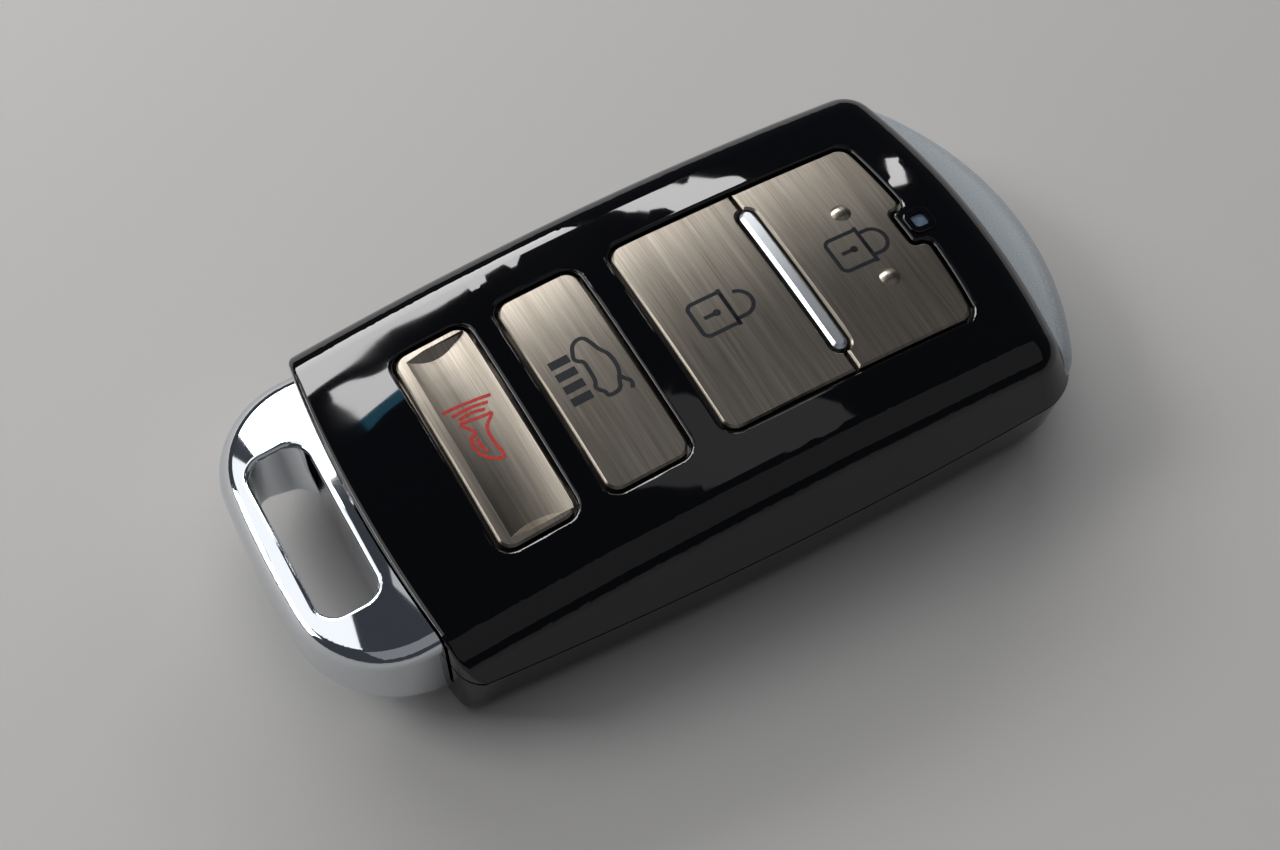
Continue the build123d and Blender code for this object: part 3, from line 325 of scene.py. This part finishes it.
def pale_board(colours):
    """Board with a matt roller paint, for the floor: plain, with the roller's faint orange peel."""
    material, shader = new_material("matt_painted_board", Base_Color=colours.floor, Roughness=0.7)
    place = add_node(material, "ShaderNodeTexCoord")
    peel = add_node(material, "ShaderNodeTexNoise", {"Vector": (place, "Object")},
                    Scale=spaced(2), Detail=4.0)
    bump = add_node(material, "ShaderNodeBump", {"Height": (peel, "Fac")}, Strength=0.1, Distance=0.05 * MM)
    connect(shader, {"Normal": (bump, "Normal")})
    return material


def assign(material, *nodes):
    """Gives CAD nodes a material."""
    for name in nodes:
        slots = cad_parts[name].data.materials
        slots.clear()
        slots.append(material)


class FOB_OT_shells(bpy.types.Operator):
    """Lacquers both shells and the release button"""
    bl_idname = "fob.shells"
    bl_label = "Shells"

    def execute(self, context):
        assign(gloss_lacquer(context.scene.fob_colours), "front_shell", "rear_shell", "release_button")
        return {"FINISHED"}


class FOB_OT_caps(bpy.types.Operator):
    """Gives the four caps their brushed metal"""
    bl_idname = "fob.caps"
    bl_label = "Button caps"

    def execute(self, context):
        assign(brushed_metal(context.scene.fob_colours),
               "lock_button", "unlock_button", "boot_button", "panic_button")
        return {"FINISHED"}


class FOB_OT_chrome(bpy.types.Operator):
    """Plates the loop and the divider bar"""
    bl_idname = "fob.chrome"
    bl_label = "Chrome"

    def execute(self, context):
        assign(mirror_chrome(context.scene.fob_colours), "key_head")
        assign(satin_chrome(context.scene.fob_colours), "divider_bar")
        return {"FINISHED"}


class FOB_OT_trim(bpy.types.Operator):
    """Paints the silver trim of the far end"""
    bl_idname = "fob.trim"
    bl_label = "Silver trim"

    def execute(self, context):
        assign(silver_paint(context.scene.fob_colours), "end_trim")
        return {"FINISHED"}


class FOB_OT_light_pipe(bpy.types.Operator):
    """Tints the light pipe and the emitter under it"""
    bl_idname = "fob.light_pipe"
    bl_label = "Light pipe"

    def execute(self, context):
        assign(grained(LIGHT_PIPE), *LIGHT_PIPE.nodes)
        return {"FINISHED"}


class FOB_OT_inner_pieces(bpy.types.Operator):
    """Finishes what lies inside: board, cell, contacts, frame and blade"""
    bl_idname = "fob.inner_pieces"
    bl_label = "Inner pieces"

    def execute(self, context):
        for finish in INNER_FINISHES:
            assign(grained(finish), *finish.nodes)
        return {"FINISHED"}


class FOB_OT_symbols(bpy.types.Operator):
    """Prints the padlocks, the saloon with its boot open and the horn on their caps"""
    bl_idname = "fob.symbols"
    bl_label = "Printed symbols"

    def execute(self, context):
        sizes, colours = context.scene.fob_symbols, context.scene.fob_colours
        slate = printed_ink("slate_pad_print", colours.slate_ink, colours.slate_ink_worn)
        red = printed_ink("red_pad_print", colours.red_ink, colours.red_ink_worn)
        stroke, fine_stroke = sizes.stroke / MM, sizes.fine_stroke / MM
        print_symbol(sizes, "lock_symbol", "lock", slate, padlock(LOCK_FOOT, closed=True), stroke)
        print_symbol(sizes, "unlock_symbol", "unlock", slate, padlock(UNLOCK_FOOT, closed=False), stroke)
        print_symbol(sizes, "boot_symbol", "boot", slate, saloon(), stroke)
        print_symbol(sizes, "hold_bars", "boot", slate, bars(), BAR_WIDTH)
        print_symbol(sizes, "horn_symbol", "panic", red, horn(), fine_stroke)
        return {"FINISHED"}


def arc(x, y, radius_x, radius_y, start_deg, end_deg, count=24):
    """Points along an ellipse's arc in millimetres; 0 degrees points to +X."""
    angles = [radians(start_deg + (end_deg - start_deg) * i / count) for i in range(count + 1)]
    return [(x + radius_x * cos(a), y + radius_y * sin(a)) for a in angles]


def runs(points, closed):
    """Each point of a line with the next one."""
    return list(zip(points, points[1:] + points[:1] if closed else points[1:]))


def smooth(points, closed=False, rounds=3):
    """Cuts the corners of a line until it is a curve: each round keeps the middle half of every run."""
    for _ in range(rounds):
        cut = []
        for (ax, ay), (bx, by) in runs(points, closed):
            cut += [(ax * 0.75 + bx * 0.25, ay * 0.75 + by * 0.25),
                    (ax * 0.25 + bx * 0.75, ay * 0.25 + by * 0.75)]
        points = cut if closed else [points[0], *cut[1:-1], points[-1]]
    return points


def padlock(foot, closed):
    """Lines of a padlock that stands on a foot at this place along the fob: (points, closed line)."""
    height, corner, half_body, half_lid, half_shackle = 3.4, 0.6, 1.85, 1.95, 1.35
    top, low = foot + height, foot + corner
    body = [(top, half_body), *arc(low, half_body - corner, corner, corner, 90, 180, 8),
            *arc(low, corner - half_body, corner, corner, 180, 270, 8), (top, -half_body)]
    lid = [(top, half_lid), (top, -half_lid)]
    keyhole, keyhole_radius, slot_length = foot + 2.15, 0.17, 1.1
    ring = arc(keyhole, 0, keyhole_radius, keyhole_radius, 0, 345, 12)
    slot = [(keyhole - slot_length, 0), (keyhole, 0)]
    if closed:
        leg, arch_height = 0.85, 1.25
        arch = arc(top + leg, 0, arch_height, half_shackle, 90, -90)
        shackle = [(top, half_shackle), *arch, (top, -half_shackle)]
    else:
        leg, aside, open_end_deg = 0.9, -0.1, 75
        arch = arc(top + leg, aside, half_shackle, half_shackle, -90, open_end_deg)
        shackle = [(top, aside - half_shackle), *arch]
    return [(body, True), (lid, False), (slot, False), (ring, True), (shackle, False)]


def saloon():
    """Outline of a saloon car with its boot lid up."""
    outline = [(-6.85, 2.55), (-6.4, 3.55), (-5.7, 3.85), (-5.15, 3.7), (-4.85, 3.0), (-4.55, 1.95),
               (-4.1, 1.25), (-3.95, 0.3), (-4.05, -0.8), (-4.55, -1.7), (-4.8, -2.45), (-5.45, -2.65),
               (-6.1, -2.6), (-6.15, -2.05), (-6.55, -1.65), (-6.7, -1.25), (-6.35, -0.75), (-6.3, 0.55),
               (-6.3, 1.55), (-6.75, 1.8), (-6.95, 2.15)]
    lid = [(-4.3, -1.35), (-4.1, -1.75), (-3.8, -2.05), (-3.65, -2.45), (-3.85, -2.8)]
    return [(smooth(outline, closed=True, rounds=2), True), (smooth(lid), False)]


def bars():
    """Row of four plain bars beside the saloon."""
    foot, top = -8.75, -7.65
    return [([(foot, y), (top, y)], False) for y in (2.55, 1.15, -0.25, -1.65)]


def horn():
    """Bulb horn with three sound waves."""
    waves = [[(-19.0, 3.6), (-18.1, 3.8), (-17.2, 3.8), (-16.3, 3.7), (-15.5, 3.55), (-14.8, 3.3)],
             [(-18.4, 3.0), (-17.5, 3.2), (-16.7, 3.2), (-15.9, 3.05), (-15.3, 2.85)],
             [(-18.0, 2.5), (-17.3, 2.65), (-16.5, 2.65), (-15.8, 2.4)]]
    body = [(-18.35, 2.0), (-17.5, 2.05), (-16.7, 1.95), (-15.9, 1.8), (-15.3, 1.75), (-15.7, 1.3),
            (-16.2, 0.95), (-16.45, 0.4), (-16.5, -0.4), (-16.45, -1.3), (-16.25, -2.2), (-16.4, -2.75),
            (-17.1, -2.45), (-17.7, -2.0), (-18.15, -1.3), (-18.3, -0.5), (-18.15, 0.15), (-17.75, 0.5),
            (-17.35, 0.7), (-17.8, 1.3)]
    bulb = [(-17.6, -0.1), (-17.65, -0.7), (-17.4, -1.35)]
    return [*[(smooth(wave, rounds=2), False) for wave in waves], (smooth(body, closed=True, rounds=1), True),
            (bulb, False)]


def even_steps(points, closed, step):
    """The same line with no run longer than step."""
    result = []
    for (ax, ay), (bx, by) in runs(points, closed):
        count = max(1, ceil(hypot(bx - ax, by - ay) / step))
        result += [(ax + (bx - ax) * i / count, ay + (by - ay) * i / count) for i in range(count)]
    return result if closed else [*result, points[-1]]


def add_band(mesh, points, closed, half_width):
    """Flat band with mitred bends and square ends along a line in millimetres. No mesh operator gives a drawn
    line an even width through its bends, so the band's points are set here."""
    points = [Vector(point) for point in points]
    nowhere = Vector((0, 0))
    rows = []
    for index, point in enumerate(points):
        at_start, at_end = not closed and index == 0, not closed and index == len(points) - 1
        way_in = nowhere if at_start else (point - points[index - 1]).normalized()
        way_out = nowhere if at_end else (points[(index + 1) % len(points)] - point).normalized()
        way = (way_in + way_out).normalized()
        lean = 1.0 if at_start else way_in.dot(way)
        across = Vector((-way.y, way.x)) * half_width / max(lean, SHARPEST_MITRE)
        if at_start or at_end:
            point = point + (way_in - way_out) * half_width
        rows.append([mesh.verts.new((*((point + side * across) * MM), DRAWN_AT)) for side in (1, -1)])
    for (a, b), (c, d) in runs(rows, closed):
        mesh.faces.new((a, b, d, c))


def print_symbol(sizes, name, button, ink, lines, width):
    """Draws a symbol above its cap, drops it on the cap and gives the ink its thickness."""
    mesh = bmesh.new()
    for points, closed in lines:
        add_band(mesh, even_steps(points, closed, sizes.step / MM), closed, width / 2)
    data = bpy.data.meshes.new(name)
    mesh.to_mesh(data)
    mesh.free()
    piece = bpy.data.objects.new(name, data)
    bpy.context.collection.objects.link(piece)
    bpy.ops.object.select_all(action="DESELECT")
    piece.select_set(True)
    bpy.context.view_layer.objects.active = piece
    drop = piece.modifiers.new("drop", "SHRINKWRAP")
    drop.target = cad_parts[f"{button}_button"]
    drop.wrap_method = "PROJECT"
    drop.use_project_z = True
    drop.use_negative_direction = True
    drop.use_positive_direction = False
    bpy.ops.object.modifier_apply(modifier="drop")
    bpy.ops.object.mode_set(mode="EDIT")
    bpy.ops.mesh.select_all(action="SELECT")
    bpy.ops.mesh.normals_make_consistent(inside=False)
    bpy.ops.transform.translate(value=(0, 0, sizes.lift))
    bpy.ops.object.mode_set(mode="OBJECT")
    if piece.data.polygons[0].normal.z < 0:
        piece.data.flip_normals()
    thick = piece.modifiers.new("ink", "SOLIDIFY")
    thick.thickness = sizes.ink
    thick.offset = -1.0
    bpy.ops.object.modifier_apply(modifier="ink")
    piece.data.materials.append(ink)
    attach(piece, button)


class FOB_OT_stage(bpy.types.Operator):
    """Sets the pale floor, the soft lights and the camera"""
    bl_idname = "fob.stage"
    bl_label = "Stage"

    def execute(self, context):
        stage, colours = context.scene.fob_stage, context.scene.fob_colours
        make_floor(colours)
        make_lights(stage, colours)
        make_camera(stage)
        return {"FINISHED"}


def make_floor(colours):
    bpy.ops.object.select_all(action="DESELECT")
    bpy.ops.mesh.primitive_plane_add(size=FLOOR_SIZE, location=(0, 0, 0))
    floor = bpy.context.object
    floor.name = "floor"
    floor.data.materials.append(pale_board(colours))


def towards(azimuth, elevation):
    """Direction from the fob, in radians: azimuth from +Y towards +X."""
    return Vector((sin(azimuth) * cos(elevation), cos(azimuth) * cos(elevation), sin(elevation)))


def softbox(lamp):
    """Adds a soft rectangular lamp that faces the fob. Its power follows from how bright its face is."""
    bpy.ops.object.light_add(type="AREA")
    light = bpy.context.object
    light.name = lamp.name
    light.data.shape = "RECTANGLE"
    light.data.size = 2 * lamp.distance * tan(radians(lamp.wide / 2))
    light.data.size_y = 2 * lamp.distance * tan(radians(lamp.high / 2))
    light.data.energy = lamp.radiance * pi * light.data.size * light.data.size_y
    light.data.color = linear(lamp.colour)[:3]
    back = towards(radians(lamp.azimuth), radians(lamp.elevation))
    light.location = back * lamp.distance
    light.rotation_euler = back.to_track_quat("Z", "Y").to_euler()
    light.rotation_euler.rotate_axis("Z", radians(lamp.roll))
    return light


def make_lights(stage, colours):
    """Room lamps light the floor and the ink, and the cards show only as reflections in gloss and metal."""
    for lamp in ROOM_LAMPS:
        softbox(lamp).visible_glossy = False
    for lamp in CARDS:
        softbox(lamp).visible_diffuse = False
    world = bpy.data.worlds.new("studio")
    bpy.context.scene.world = world
    world.use_nodes = True
    background = world.node_tree.nodes["Background"]
    background.inputs["Color"].default_value = colours.sky
    background.inputs["Strength"].default_value = stage.sky_strength


def make_camera(stage):
    """Camera at the photograph's angle. Its azimuth is 0 at the fob's near side (-Y), and negative towards
    the loop (-X)."""
    back = towards(pi - stage.azimuth, stage.elevation)
    bpy.ops.object.camera_add(location=Vector(stage.target) + back * stage.distance)
    camera = bpy.context.object
    camera.name = "camera"
    side = Vector((0, 0, 1)).cross(back).normalized()
    camera.rotation_euler = Matrix((side, back.cross(side), back)).transposed().to_euler()
    camera.data.sensor_width = SENSOR_WIDTH
    camera.data.lens = stage.lens
    camera.data.clip_start = 1 * MM
    bpy.context.scene.camera = camera


class FOB_PT_panel(bpy.types.Panel):
    """Lists the values and the steps"""
    bl_idname = "FOB_PT_panel"
    bl_label = "Key fob"
    bl_space_type = "VIEW_3D"
    bl_region_type = "UI"
    bl_category = "Key fob"

    def draw(self, context):
        for name, group in GROUPS.items():
            for value in group.__annotations__:
                self.layout.prop(getattr(context.scene, name), value)
        for operator in STEPS:
            self.layout.operator(operator.bl_idname)


STEPS = (FOB_OT_shells, FOB_OT_caps, FOB_OT_symbols, FOB_OT_chrome, FOB_OT_trim, FOB_OT_light_pipe,
         FOB_OT_inner_pieces, FOB_OT_stage)
GROUPS = {"fob_symbols": FobSymbolSizes, "fob_colours": FobColours, "fob_stage": FobStageSizes}
CLASSES = (*GROUPS.values(), *STEPS, FOB_PT_panel)


def register():
    for cls in CLASSES:
        bpy.utils.register_class(cls)
    for name, group in GROUPS.items():
        setattr(bpy.types.Scene, name, bpy.props.PointerProperty(type=group))


def unregister():
    for name in GROUPS:
        delattr(bpy.types.Scene, name)
    for cls in reversed(CLASSES):
        bpy.utils.unregister_class(cls)


def main():
    register()
    for operator in STEPS:
        getattr(bpy.ops.fob, operator.bl_idname.removeprefix("fob."))()
    scene = bpy.context.scene
    scene.view_settings.view_transform = "Standard"


if __name__ == "__main__":
    main()
